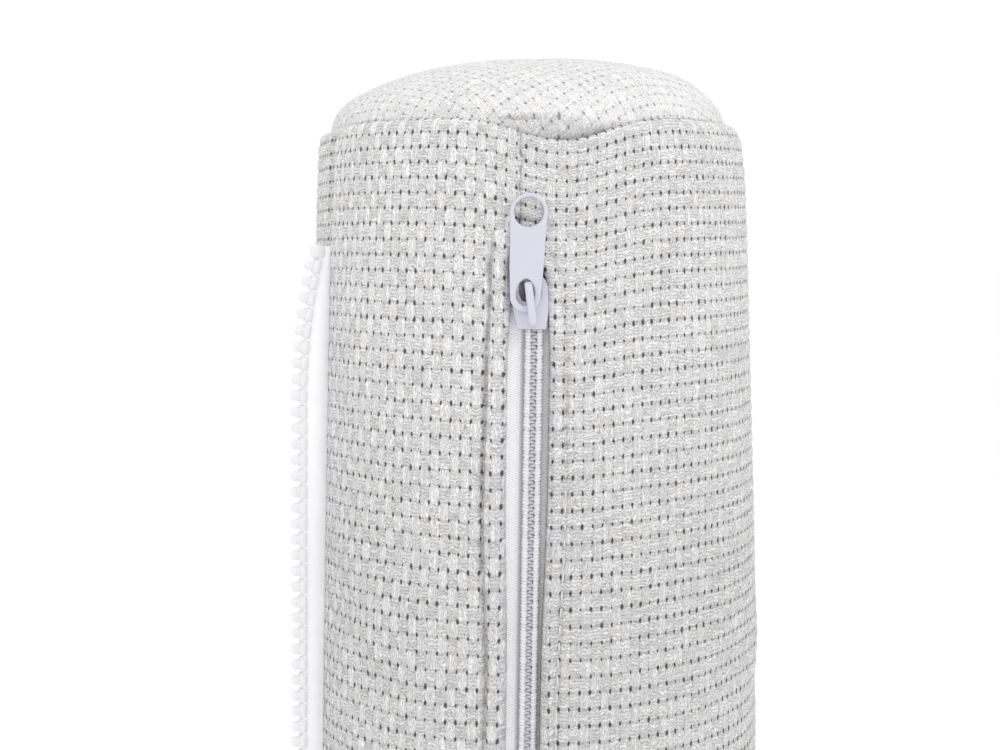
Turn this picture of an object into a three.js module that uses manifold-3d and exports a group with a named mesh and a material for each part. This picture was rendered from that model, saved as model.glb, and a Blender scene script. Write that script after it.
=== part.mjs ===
// Bolster pillow, standing on one end. Millimetres, +Z up.
// The origin is the middle of the flat base, on the bolster's axis. The coil zip of the cover
// faces -Y, and half of a moulded-tooth zip stands out of the side seam to the left of it.
import * as THREE from 'three';
import { mergeVertices } from 'three/addons/utils/BufferGeometryUtils.js';
import Module from 'manifold-3d';

const wasm = await Module();
wasm.setup();

// Cover
const seamToSeam = 340; // between the two end seams
const shoulderRadius = 42; // cover just inside each end seam
const seamTuck = 3.2; // how much tighter the end seams are than the shoulders
const shoulderReach = 6; // length over which the cover swells from seam to shoulder
const bellySwell = 3.4; // extra radius half way along
const domeHeight = 13; // crown of the top cap above its seam
const baseHeight = 7; // bottom seam above the floor
const baseFlatRadius = 30; // flat that the bolster stands on
const clothThickness = 1.3;
const softGap = 0.3; // between soft pieces
const seatGap = 0.1; // between small hard pieces and what they sit on

// Inner pad
const linerThickness = 0.8;
const waddingLeast = 3.7; // between the foam and the slider's channel

// Coil zip of the cover
const zipEndMargin = 17; // closed seam beyond each end of the zip opening
const openingWidth = 8.8; // between the two folded edges
const zipSwell = 1; // how far the zip line bows out half way along
const zipPull = 0.3; // radians round the body over which a zip flattens it
const tapeWidth = 11; // of each half
const tapeThickness = 0.6;
const tapeOverrun = 8; // tape beyond each end of the opening
const coilWidth = 1.35; // of each half
const coilHeight = 1.6;
const coilEndMargin = 10.1; // from each end of the opening to the coil stops' inner ends
const stopLength = 2.5;
const stopRim = 0.25; // stop beyond the coil on its outer side
const stitchOffset = 7.5; // topstitching, from the zip's middle line
const threadRadius = 0.3;

// Slider and pull
const postWidth = 0.8; // wedge that parts the two coils
const postLength = 2.6;
const postGap = 0.3; // post to the tapes and coils beside it
const runClearance = 0.25; // slider to tape, pad and stops
const chainClearance = 0.15; // slider to coils
const plateThickness = 0.9;
const sliderLength = 9.6;
const flangeFront = 0.95; // side wall of the slider at its wide end
const flangeRear = 0.3; // and at its narrow end
const shoulderDrop = 4.4; // wide part of the slider, from its front end
const bridgeWidth = 1.2;
const bridgeBar = 0.85;
const bridgeClearance = 0.2; // bridge to the pull's cross bar as it turns
const bridgeLength = 7.2;
const bridgeDrop = 1.9; // bridge below the slider's front end
const hingeDrop = 6; // pull's cross bar below the slider's front end
const pullLength = 20.5;
const pullWidth = 6.5;
const pullRingWidth = 5.3;
const pullThickness = 0.9;
const pullBar = 1.05; // cross bar that hangs on the bridge
const pullHoleWidth = 5;
const pullHoleLength = 5.4;
const pullHoleRim = 0.75; // metal above the large hole
const ringHoleWidth = 3.3;
const ringHoleLength = 5.4;

// Half zip in the side seam
const sideSeamAngle = 65; // degrees from the coil zip, to the left
const sideSwell = 2; // how far this seam bows out half way along
const flapWidth = 3.1; // tape that shows outside the hinge line
const sideTapeThickness = 0.6;
const sideTapeEnd = 1; // tape beyond the top stop and the pin
const sideTeethMargin = 26; // end seams to the toothed length
const sideCurl = 3; // how far the top of the tape turns in towards the seam
const sideCurlReach = 27; // length over which it turns
const sideCurlSteps = 6;
const toothPitch = 3.05;
const toothRoot = 1.3; // bead that carries the teeth
const toothLength = 2.4; // beyond the bead
const toothNeck = 1; // width at the bead
const toothHead = 1.75; // and at the tip
const toothThickness = 2.5;
const pinLength = 9;
const pinWidth = 1.5;

const wallSteps = 40; // facets round the body
const axialSteps = 6; // rings between the shoulders

const deg = Math.PI / 180;
const bottomSeamZ = baseHeight;
const topSeamZ = bottomSeamZ + seamToSeam;
const seamRadius = shoulderRadius - seamTuck;
const openingBottomZ = bottomSeamZ + zipEndMargin;
const openingTopZ = topSeamZ - zipEndMargin;

// Depths of the zip's layers, measured from the axis towards -Y
const hemUnderside = shoulderRadius - 2 * clothThickness;
const tapeFront = hemUnderside - softGap;
const tapeBack = tapeFront - tapeThickness;
const coilBase = tapeFront + seatGap;
const coilTop = coilBase + coilHeight;
const lowerPlateBack = tapeBack - runClearance - plateThickness;
const upperPlateInner = coilTop + chainClearance;
const upperPlateOuter = upperPlateInner + plateThickness;
const padSeat = tapeBack - softGap;
const channelFloor = lowerPlateBack - runClearance;
const foamRadius = channelFloor - linerThickness - 2 * softGap - waddingLeast;
const coilInner = postWidth / 2 + postGap;
const coilOuter = coilInner + coilWidth;
const tapeOuter = coilInner + tapeWidth;
const channelHalf = coilOuter + chainClearance;
const sliderHalf = channelHalf + flangeFront;
const pullBarRadius = Math.hypot(pullBar, pullThickness) / 2;
const hingeDepth = upperPlateOuter + runClearance + pullBarRadius;

const coilStopTopZ = openingTopZ - coilEndMargin + stopLength;
const sliderFrontZ = coilStopTopZ - stopLength - runClearance;
const sliderRearZ = sliderFrontZ - sliderLength;
const hingeZ = sliderFrontZ - hingeDrop;
const coilStopBottomZ = openingBottomZ + coilEndMargin - stopLength;

const sideHingeRadius = shoulderRadius + sideSwell + softGap;
const teethRadius = sideHingeRadius + flapWidth;
const sideTeethLow = bottomSeamZ + sideTeethMargin;
const sideTeethHigh = topSeamZ - sideTeethMargin;

const cloth = () => new THREE.MeshStandardMaterial({ color: 0xdad8d4, roughness: 0.95 });
const innerCloth = () => new THREE.MeshStandardMaterial({ color: 0xf2f1ee, roughness: 0.9 });
const foam = () => new THREE.MeshStandardMaterial({ color: 0xefe6c8, roughness: 1 });
const wadding = () => new THREE.MeshStandardMaterial({ color: 0xfbfbf9, roughness: 1 });
const zipTape = () => new THREE.MeshStandardMaterial({ color: 0xf0eef4, roughness: 0.8 });
const nylon = () => new THREE.MeshStandardMaterial({ color: 0xe8e6ee, roughness: 0.4 });
const mouldedPlastic = () => new THREE.MeshStandardMaterial({ color: 0xf6f5f8, roughness: 0.35 });
const enamel = () => new THREE.MeshStandardMaterial({ color: 0xdddce8, roughness: 0.3, metalness: 0.3 });
const thread = () => new THREE.MeshStandardMaterial({ color: 0xe4e2de, roughness: 0.8 });

const bolster = new THREE.Group();

function addPiece(name, geometry, material, group = bolster) {
  const mesh = new THREE.Mesh(geometry, material);
  mesh.name = name;
  group.add(mesh);
  return mesh;
}

// Closed geometry as a solid for joining and cutting; turned right side out where need be.
function toSolid(geometry) {
  const bare = geometry.clone();
  for (const attribute of Object.keys(bare.attributes)) {
    if (attribute !== 'position') bare.deleteAttribute(attribute);
  }
  const merged = mergeVertices(bare, 1e-4);
  const position = merged.attributes.position;
  const index = merged.index.array;
  const corner = [new THREE.Vector3(), new THREE.Vector3(), new THREE.Vector3()];
  const triangles = [];
  let volume = 0;
  for (let i = 0; i < index.length; i += 3) {
    const [a, b, c] = [index[i], index[i + 1], index[i + 2]];
    if (a === b || b === c || c === a) continue;
    triangles.push(a, b, c);
    [a, b, c].forEach((vertex, k) => corner[k].fromBufferAttribute(position, vertex));
    volume += corner[0].dot(corner[1].cross(corner[2]));
  }
  if (volume < 0) triangles.reverse();
  return new wasm.Manifold(new wasm.Mesh({
    numProp: 3,
    vertProperties: new Float32Array(position.array),
    triVerts: new Uint32Array(triangles),
  }));
}

function toGeometry(body) {
  const mesh = body.getMesh();
  const geometry = new THREE.BufferGeometry();
  geometry.setAttribute('position', new THREE.BufferAttribute(mesh.vertProperties, 3));
  geometry.setIndex(new THREE.BufferAttribute(mesh.triVerts, 1));
  const flat = geometry.toNonIndexed();
  flat.computeVertexNormals();
  return flat;
}

// Box between two corners
function block(low, high) {
  const size = high.map((value, i) => value - low[i]);
  const centre = high.map((value, i) => (value + low[i]) / 2);
  return new THREE.BoxGeometry(...size).translate(...centre);
}

// Profile of [radius, height] pairs turned about Z; angle 0 is -Y
function turned(profile) {
  const points = profile.map(([radius, height]) => new THREE.Vector2(Math.max(radius, 0), height));
  return new THREE.LatheGeometry(points, wallSteps).rotateX(Math.PI / 2);
}

// Extrusion along Y, from depth near to depth far on the -Y side, of an outline drawn in X and Z
function plate(outline, near, far) {
  const geometry = new THREE.ExtrudeGeometry(outline, {
    depth: far - near, bevelEnabled: false, curveSegments: 6,
  });
  return geometry.rotateX(Math.PI / 2).translate(0, -near, 0);
}

// The swell of the body between its shoulders
function swell(z, amount) {
  return amount * Math.sin(Math.PI * (z - bottomSeamZ) / seamToSeam);
}

function seamLineRadius(z, amount) {
  const fromSeam = Math.min(z - bottomSeamZ, topSeamZ - z);
  const short = 1 - Math.min(Math.max(fromSeam / shoulderReach, 0), 1);
  return shoulderRadius - seamTuck * (1 - Math.sqrt(1 - short * short)) + swell(z, amount);
}

// Outer radius of the cover; the two zips hold it flatter along their own lines
function coverRadius(angle, z) {
  const atZip = Math.exp(-((angle / zipPull) ** 2));
  const atSide = Math.exp(-(((angle + sideSeamAngle * deg) / zipPull) ** 2));
  const dip = swell(z, bellySwell - zipSwell) * atZip + swell(z, bellySwell - sideSwell) * atSide;
  return seamLineRadius(z, bellySwell) - dip;
}

// Heights of the rings of the body: close together at the shoulders
function ringHeights(low, high) {
  const heights = [low];
  for (const reach of [0.15, 0.5, 1]) {
    heights.push(bottomSeamZ + reach * shoulderReach, topSeamZ - reach * shoulderReach);
  }
  const first = bottomSeamZ + shoulderReach;
  const span = seamToSeam - 2 * shoulderReach;
  for (let i = 1; i < axialSteps; i += 1) heights.push(first + span * i / axialSteps);
  heights.push(high);
  return heights.filter((z) => z >= low && z <= high).sort((a, b) => a - b);
}

// The body inset by some thickness, between two heights
function barrel(inset, low, high) {
  const wall = ringHeights(low, high).map((z) => [seamRadius, z]);
  const geometry = turned([[0, low], ...wall, [0, high]]);
  const position = geometry.attributes.position;
  for (let i = 0; i < position.count; i += 1) {
    const [x, y, z] = [position.getX(i), position.getY(i), position.getZ(i)];
    if (Math.hypot(x, y) < seamRadius / 2) continue;
    const angle = Math.atan2(x, -y);
    const radius = coverRadius(angle, z) - inset;
    position.setXY(i, radius * Math.sin(angle), -radius * Math.cos(angle));
  }
  return toSolid(geometry);
}

// The pad leaves room behind the coil zip: a flat for the tapes and a channel for the slider
function padBody(inset, low, high) {
  const back = inset - clothThickness - softGap;
  const reach = shoulderRadius + bellySwell + 1;
  const flatHalf = tapeOuter + 2 * softGap + back;
  const channelHalfWidth = sliderHalf + runClearance + back;
  const seat = block([-flatHalf, -reach, low - 1], [flatHalf, -(padSeat - back), high + 1]);
  const channel = block([-channelHalfWidth, -reach, low - 1],
    [channelHalfWidth, -(channelFloor - back), high + 1]);
  return barrel(inset, low, high).subtract(toSolid(seat)).subtract(toSolid(channel));
}

// Quarter ellipse from the rim of an end cap to its middle, as [radius, height] pairs
function crown(rimRadius, flatRadius, height, steps) {
  const points = [];
  for (let i = 0; i <= steps; i += 1) {
    const turn = (Math.PI / 2) * i / steps;
    const radius = flatRadius + (rimRadius - flatRadius) * Math.cos(turn);
    points.push([radius, height * Math.sin(turn)]);
  }
  return points;
}

// Thin cap over an end of the body; the bottom one is a crown with a flat, turned over
function endCap(name, rimRadius, height, flatRadius, thickness, sign, rimZ, material) {
  const steps = 5;
  const outer = crown(rimRadius, flatRadius, height, steps);
  const inner = crown(rimRadius - thickness, Math.max(flatRadius - thickness, 0), height - thickness, steps);
  const profile = [...outer, ...(flatRadius > 0 ? [[0, height], [0, height - thickness]] : []),
    ...inner.reverse()];
  const placed = profile.map(([radius, z]) => [radius, rimZ + sign * z]);
  addPiece(name, toGeometry(toSolid(turned([...placed, placed[0]]))), material);
}

// Inner pad: foam core, wadding wrap, liner sleeve with two ends
const linerInset = clothThickness + softGap;
const waddingInset = linerInset + linerThickness + softGap;

const foamCrown = crown(foamRadius, 0, domeHeight - waddingInset, 4);
const foamFoot = Math.min(baseFlatRadius - waddingInset, foamRadius);
addPiece('foam_core', toGeometry(toSolid(turned([
  [0, waddingInset], [foamFoot, waddingInset], [foamRadius, bottomSeamZ],
  ...foamCrown.map(([radius, z]) => [radius, topSeamZ + z]),
]))), foam());

const foamBore = turned([
  [0, 0], [foamRadius + softGap, 0], [foamRadius + softGap, topSeamZ + 1], [0, topSeamZ + 1],
]);
addPiece('wadding_wrap', toGeometry(
  padBody(waddingInset, bottomSeamZ + softGap, topSeamZ - softGap).subtract(toSolid(foamBore)),
), wadding());

const linerInner = padBody(linerInset + linerThickness, bottomSeamZ - 1, topSeamZ + 1);
addPiece('liner_sleeve', toGeometry(
  padBody(linerInset, bottomSeamZ + softGap, topSeamZ - softGap).subtract(linerInner),
), innerCloth());
endCap('liner_end_top', seamRadius - linerInset, domeHeight - linerInset, 0,
  linerThickness, 1, topSeamZ, innerCloth());
endCap('liner_end_bottom', seamRadius - linerInset, baseHeight - linerInset, baseFlatRadius - linerInset,
  linerThickness, -1, bottomSeamZ, innerCloth());

// Cover: two panels that meet at the coil zip and at the side seam, and an end cap each end
function coverPanels() {
  const reach = shoulderRadius + bellySwell + 1;
  const tapeLow = openingBottomZ - tapeOverrun - softGap;
  const tapeHigh = openingTopZ + tapeOverrun + softGap;
  const clear = tapeOuter + softGap;
  const hem = block([-clear, -reach, tapeLow], [clear, -hemUnderside, tapeHigh]);
  const inside = barrel(clothThickness, bottomSeamZ - 1, topSeamZ + 1).subtract(toSolid(hem));
  const tapeRoom = block([-clear, -hemUnderside, tapeLow], [clear, -padSeat, tapeHigh]);
  const opening = block([-openingWidth / 2, -reach, openingBottomZ], [openingWidth / 2, 0, openingTopZ]);
  const zipSeam = block([-softGap / 2, -reach, 0], [softGap / 2, 0, topSeamZ + 1]);
  const sideSeam = block([0, -softGap / 2, 0], [reach + 1, softGap / 2, topSeamZ + 1]);
  sideSeam.rotateZ((270 - sideSeamAngle) * deg);
  const cuts = [tapeRoom, opening, zipSeam, sideSeam].map(toSolid);
  let shell = barrel(0, bottomSeamZ, topSeamZ).subtract(inside);
  for (const cut of cuts) shell = shell.subtract(cut);
  return shell.decompose().sort((a, b) => a.volume() - b.volume());
}

const [narrowPanel, widePanel] = coverPanels();
addPiece('cover_panel_narrow', toGeometry(narrowPanel), cloth());
addPiece('cover_panel_wide', toGeometry(widePanel), cloth());
endCap('end_cap_top', seamRadius, domeHeight, 0, clothThickness, 1, topSeamZ + softGap, cloth());
endCap('end_cap_bottom', seamRadius, baseHeight - softGap, baseFlatRadius, clothThickness, -1,
  bottomSeamZ - softGap, cloth());

// Two rows of topstitching hold the folded edges down beside the zip
function stitchRow(side) {
  const points = [];
  const steps = 20;
  for (let i = 0; i <= steps; i += 1) {
    const z = openingBottomZ + (openingTopZ - openingBottomZ) * i / steps;
    const angle = Math.asin(stitchOffset / coverRadius(0, z));
    const radius = coverRadius(angle, z) + seatGap + threadRadius;
    points.push(new THREE.Vector3(side * radius * Math.sin(angle), -radius * Math.cos(angle), z));
  }
  const section = new THREE.Shape();
  section.absarc(0, 0, threadRadius, 0, 2 * Math.PI);
  return new THREE.ExtrudeGeometry(section, {
    extrudePath: new THREE.CatmullRomCurve3(points), steps, curveSegments: 3, bevelEnabled: false,
  });
}

// One half of the coil zip: tape, coil, stop at its top end
for (const [side, name] of [[-1, 'left'], [1, 'right']]) {
  const span = (near, far) => (side < 0 ? [-far, -near] : [near, far]);
  const part = (inner, outer, back, front, low, high) => {
    const [x0, x1] = span(inner, outer);
    return block([x0, -front, low], [x1, -back, high]);
  };
  addPiece(`coil_tape_${name}`, part(coilInner, tapeOuter, tapeBack, tapeFront,
    openingBottomZ - tapeOverrun, openingTopZ + tapeOverrun), zipTape());
  addPiece(`coil_${name}`, part(coilInner, coilOuter, coilBase, coilTop,
    coilStopBottomZ + stopLength + seatGap, coilStopTopZ - stopLength - seatGap), nylon());
  addPiece(`coil_top_stop_${name}`, part(coilInner, coilOuter + stopRim, coilBase, coilTop,
    coilStopTopZ - stopLength, coilStopTopZ), nylon());
  addPiece(`topstitch_${name}`, toGeometry(toSolid(stitchRow(side))), thread());
}
addPiece('coil_bottom_stop', block(
  [-coilOuter - stopRim, -coilTop, coilStopBottomZ],
  [coilOuter + stopRim, -coilBase, coilStopBottomZ + stopLength],
), nylon());

// Slider: two plates joined by a wedge post, side walls along the coils, bridge on top
function sliderOutline() {
  const rearHalf = channelHalf + flangeRear;
  const bend = sliderFrontZ - shoulderDrop;
  const outline = new THREE.Shape();
  outline.moveTo(-rearHalf, sliderRearZ);
  outline.lineTo(rearHalf, sliderRearZ);
  outline.quadraticCurveTo(sliderHalf, (sliderRearZ + bend) / 2, sliderHalf, bend);
  outline.lineTo(sliderHalf, sliderFrontZ - 1);
  outline.quadraticCurveTo(sliderHalf, sliderFrontZ, sliderHalf - 1, sliderFrontZ);
  outline.lineTo(-sliderHalf + 1, sliderFrontZ);
  outline.quadraticCurveTo(-sliderHalf, sliderFrontZ, -sliderHalf, sliderFrontZ - 1);
  outline.lineTo(-sliderHalf, bend);
  outline.quadraticCurveTo(-sliderHalf, (sliderRearZ + bend) / 2, -rearHalf, sliderRearZ);
  return outline;
}

function bridgeArch() {
  const low = sliderFrontZ - bridgeDrop - bridgeLength;
  const high = sliderFrontZ - bridgeDrop;
  const inner = hingeDepth + pullBarRadius + bridgeClearance;
  const outer = inner + bridgeBar;
  const root = upperPlateInner + plateThickness / 2;
  const leg = bridgeBar;
  const arch = new THREE.Shape(); // drawn in height and depth
  arch.moveTo(low, root);
  arch.lineTo(low, inner);
  arch.quadraticCurveTo(low, outer, low + 1.6, outer);
  arch.lineTo(high - 1.6, outer);
  arch.quadraticCurveTo(high, outer, high, inner);
  arch.lineTo(high, root);
  arch.lineTo(high - leg, root);
  arch.lineTo(high - leg, inner);
  arch.lineTo(low + leg, inner);
  arch.lineTo(low + leg, root);
  const geometry = new THREE.ExtrudeGeometry(arch, {
    depth: bridgeWidth, bevelEnabled: false, curveSegments: 4,
  });
  // height becomes Z, depth becomes -Y, the extrusion runs along X
  const turn = new THREE.Matrix4().set(
    0, 0, 1, -bridgeWidth / 2,
    0, -1, 0, 0,
    1, 0, 0, 0,
    0, 0, 0, 1,
  );
  return geometry.applyMatrix4(turn);
}

function sliderSolid() {
  const outline = sliderOutline();
  const upper = toSolid(plate(outline, tapeFront + runClearance, upperPlateOuter));
  const lower = toSolid(plate(outline, lowerPlateBack, tapeBack - runClearance));
  const channel = toSolid(block([-channelHalf, -upperPlateInner, sliderRearZ - 1],
    [channelHalf, -tapeFront, sliderFrontZ + 1]));
  const overlap = plateThickness / 2;
  const post = toSolid(block(
    [-postWidth / 2, -upperPlateInner - overlap, sliderFrontZ - postLength],
    [postWidth / 2, -lowerPlateBack - overlap, sliderFrontZ - seatGap]));
  return upper.subtract(channel).add(lower).add(post).add(toSolid(bridgeArch()));
}

addPiece('slider_body', toGeometry(sliderSolid()), enamel());

// Pull: flat tab with a large hole near its free end and a ring that hangs on the bridge.
// Drawn standing up from its hinge, which is the middle of the ring's cross bar.
function pullOutline() {
  const foot = -pullBar / 2;
  const top = foot + pullLength;
  const ringRadius = pullRingWidth / 2;
  const outline = new THREE.Shape();
  outline.moveTo(0, foot);
  outline.absarc(0, foot + ringRadius, ringRadius, -Math.PI / 2, 0);
  outline.lineTo(pullWidth / 2, top - pullWidth / 2);
  outline.absarc(0, top - pullWidth / 2, pullWidth / 2, 0, Math.PI);
  outline.lineTo(-ringRadius, foot + ringRadius);
  outline.absarc(0, foot + ringRadius, ringRadius, Math.PI, 1.5 * Math.PI);
  const ellipse = (middle, width, length) => {
    const hole = new THREE.Path();
    hole.absellipse(0, middle, width / 2, length / 2, 0, 2 * Math.PI);
    return hole;
  };
  outline.holes.push(
    ellipse(top - pullHoleRim - pullHoleLength / 2, pullHoleWidth, pullHoleLength),
    ellipse(pullBar / 2 + ringHoleLength / 2, ringHoleWidth, ringHoleLength),
  );
  return outline;
}

const pullGeometry = plate(pullOutline(), -pullThickness / 2, pullThickness / 2);
const pull = addPiece('pull_tab', pullGeometry, enamel());
pull.position.set(0, -hingeDepth, hingeZ);

// Half zip in the side seam, drawn in the plane of the seam: X outwards from the axis
const flap = new THREE.Group();
flap.rotation.z = (270 - sideSeamAngle) * deg;
bolster.add(flap);

function flapEdgeRadius(z) {
  const turned = Math.max(0, 1 + Math.min(0, z - sideTeethHigh) / sideCurlReach);
  return teethRadius - sideCurl * turned * turned;
}

function flapEdge() {
  const points = [];
  for (let i = sideCurlSteps; i >= 0; i -= 1) {
    const z = sideTeethHigh - i * sideCurlReach / sideCurlSteps;
    points.push([flapEdgeRadius(z), z]);
  }
  return points;
}

function sideTapeOutline(low, high) {
  const outline = new THREE.Shape();
  outline.moveTo(teethRadius - seatGap, low);
  for (const [radius, z] of flapEdge()) outline.lineTo(radius - seatGap, z);
  outline.lineTo(flapEdgeRadius(high) - seatGap, high);
  const steps = 16;
  for (let i = 0; i <= steps; i += 1) {
    const z = high + (low - high) * i / steps;
    outline.lineTo(seamLineRadius(z, sideSwell) + softGap, z);
  }
  return outline;
}

function teethOutline(low, high) {
  const count = Math.floor((high - low) / toothPitch);
  const teeth = [];
  for (let i = 0; i < count; i += 1) {
    const middle = high - (i + 0.5) * toothPitch;
    const bead = flapEdgeRadius(middle) + toothRoot;
    const tip = bead + toothLength;
    teeth.push([bead, middle + toothNeck / 2], [tip, middle + toothHead / 2],
      [tip, middle - toothHead / 2], [bead, middle - toothNeck / 2]);
  }
  const outline = new THREE.Shape();
  outline.moveTo(flapEdgeRadius(high) + toothRoot, high);
  for (const [radius, z] of teeth) outline.lineTo(radius, z);
  outline.lineTo(teethRadius + toothRoot, low);
  outline.lineTo(teethRadius, low);
  for (const [radius, z] of flapEdge()) outline.lineTo(radius, z);
  return outline;
}

const sideTapeLow = sideTeethLow - seatGap - pinLength - sideTapeEnd;
const sideTapeHigh = sideTeethHigh + seatGap + stopLength + sideTapeEnd;
addPiece('side_zip_tape', plate(sideTapeOutline(sideTapeLow, sideTapeHigh),
  -sideTapeThickness / 2, sideTapeThickness / 2), zipTape(), flap);
addPiece('side_zip_teeth', plate(teethOutline(sideTeethLow, sideTeethHigh),
  -toothThickness / 2, toothThickness / 2), mouldedPlastic(), flap);
addPiece('side_zip_top_stop', block(
  [flapEdgeRadius(sideTeethHigh), -toothThickness / 2, sideTeethHigh + seatGap],
  [flapEdgeRadius(sideTeethHigh) + toothRoot + toothNeck, toothThickness / 2,
    sideTeethHigh + seatGap + stopLength],
), mouldedPlastic(), flap);
addPiece('side_zip_pin', block(
  [teethRadius, -pinWidth / 2, sideTeethLow - seatGap - pinLength],
  [teethRadius + toothRoot, pinWidth / 2, sideTeethLow - seatGap],
), mouldedPlastic(), flap);

export default bolster;
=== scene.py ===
import math

import bpy
import numpy as np
from mathutils import Matrix, Vector


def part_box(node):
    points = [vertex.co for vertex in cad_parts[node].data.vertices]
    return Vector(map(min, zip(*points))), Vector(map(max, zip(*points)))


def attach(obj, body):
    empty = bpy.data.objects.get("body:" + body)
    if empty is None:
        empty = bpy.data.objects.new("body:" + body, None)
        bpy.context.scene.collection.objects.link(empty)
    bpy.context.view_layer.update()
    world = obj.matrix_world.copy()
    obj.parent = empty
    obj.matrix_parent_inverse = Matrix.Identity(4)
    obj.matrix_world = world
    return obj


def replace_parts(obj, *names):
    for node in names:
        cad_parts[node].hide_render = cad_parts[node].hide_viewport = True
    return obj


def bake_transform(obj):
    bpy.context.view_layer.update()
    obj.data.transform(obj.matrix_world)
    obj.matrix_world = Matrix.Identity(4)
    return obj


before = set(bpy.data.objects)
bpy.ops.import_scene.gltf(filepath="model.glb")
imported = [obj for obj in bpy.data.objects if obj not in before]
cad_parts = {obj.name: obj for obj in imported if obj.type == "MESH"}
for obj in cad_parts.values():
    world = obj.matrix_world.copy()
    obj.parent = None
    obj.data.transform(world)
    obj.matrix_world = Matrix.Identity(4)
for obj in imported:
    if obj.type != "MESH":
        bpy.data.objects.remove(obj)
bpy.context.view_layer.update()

# Lengths below are in millimetres unless a name says otherwise; meshes are scaled when they are made.
mm = 0.001


def cadBox(node):
    low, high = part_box(node)
    return np.array(low) / mm, np.array(high) / mm


# Meshes

def wrap(a):
    return (a + math.pi) % (2 * math.pi) - math.pi


def smooth(x, low, high):
    f = np.clip((x - low) / (high - low), 0, 1)
    return f * f * (3 - 2 * f)


def newObject(name, data):
    obj = bpy.data.objects.new(name, data)
    bpy.context.scene.collection.objects.link(obj)
    return obj


def meshObject(name, points, faces, material, uv=None, attributes=None, shade=True):
    points = np.asarray(points, np.float32) * mm
    mesh = bpy.data.meshes.new(name)
    if isinstance(faces, np.ndarray):
        count, sides = faces.shape
        mesh.vertices.add(len(points))
        mesh.vertices.foreach_set("co", points.ravel())
        mesh.loops.add(count * sides)
        mesh.loops.foreach_set("vertex_index", faces.astype(np.int32).ravel())
        mesh.polygons.add(count)
        mesh.polygons.foreach_set("loop_start", np.arange(0, count * sides, sides, dtype=np.int32))
        mesh.update(calc_edges=True)
    else:
        mesh.from_pydata([tuple(p) for p in points], [], [tuple(f) for f in faces])
    if uv is not None:
        loops = np.zeros(len(mesh.loops), np.int32)
        mesh.loops.foreach_get("vertex_index", loops)
        layer = mesh.uv_layers.new(name="weave")
        layer.data.foreach_set("uv", np.asarray(uv, np.float32)[loops].ravel())
    for key, values in (attributes or {}).items():
        mesh.attributes.new(key, "FLOAT", "POINT").data.foreach_set("value", np.asarray(values, np.float32))
    mesh.polygons.foreach_set("use_smooth", [shade] * len(mesh.polygons))
    mesh.validate()
    if material:
        mesh.materials.append(material)
    return newObject(name, mesh)


def gridFaces(rows, columns, first=0, closed=False, flip=False):
    j, k = np.meshgrid(np.arange(rows - 1), np.arange(columns if closed else columns - 1), indexing="ij")
    n = (k + 1) % columns
    a, b, c, d = j * columns + k, j * columns + n, (j + 1) * columns + n, (j + 1) * columns + k
    quads = np.stack([a, d, c, b] if flip else [a, b, c, d], -1).reshape(-1, 4)
    return quads + first


def shellFaces(rows, columns, closed=False):
    # an outer grid, then an inner one of the same size, joined round their borders
    count = rows * columns
    faces = [gridFaces(rows, columns, 0, closed), gridFaces(rows, columns, count, closed, True)]
    borders = [np.arange(columns), np.arange(columns)[::-1] + (rows - 1) * columns]
    if closed:
        borders = [np.append(line, line[0]) for line in borders]
    else:
        borders += [np.arange(rows)[::-1] * columns, np.arange(rows) * columns + columns - 1]
    for line in borders:
        a, b = line[:-1], line[1:]
        faces.append(np.stack([b, a, a + count, b + count], -1))
    return np.concatenate(faces)


def capped(rows, around, points):
    # faces of a closed tube of rings whose two end points come last
    faces = [tuple(f) for f in gridFaces(rows, around, 0, True)]
    low, top = len(points) - 2, len(points) - 1
    for k in range(around):
        n = (k + 1) % around
        faces.append((n, k, low))
        faces.append(((rows - 1) * around + k, (rows - 1) * around + n, top))
    return points, faces


# Materials

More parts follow.
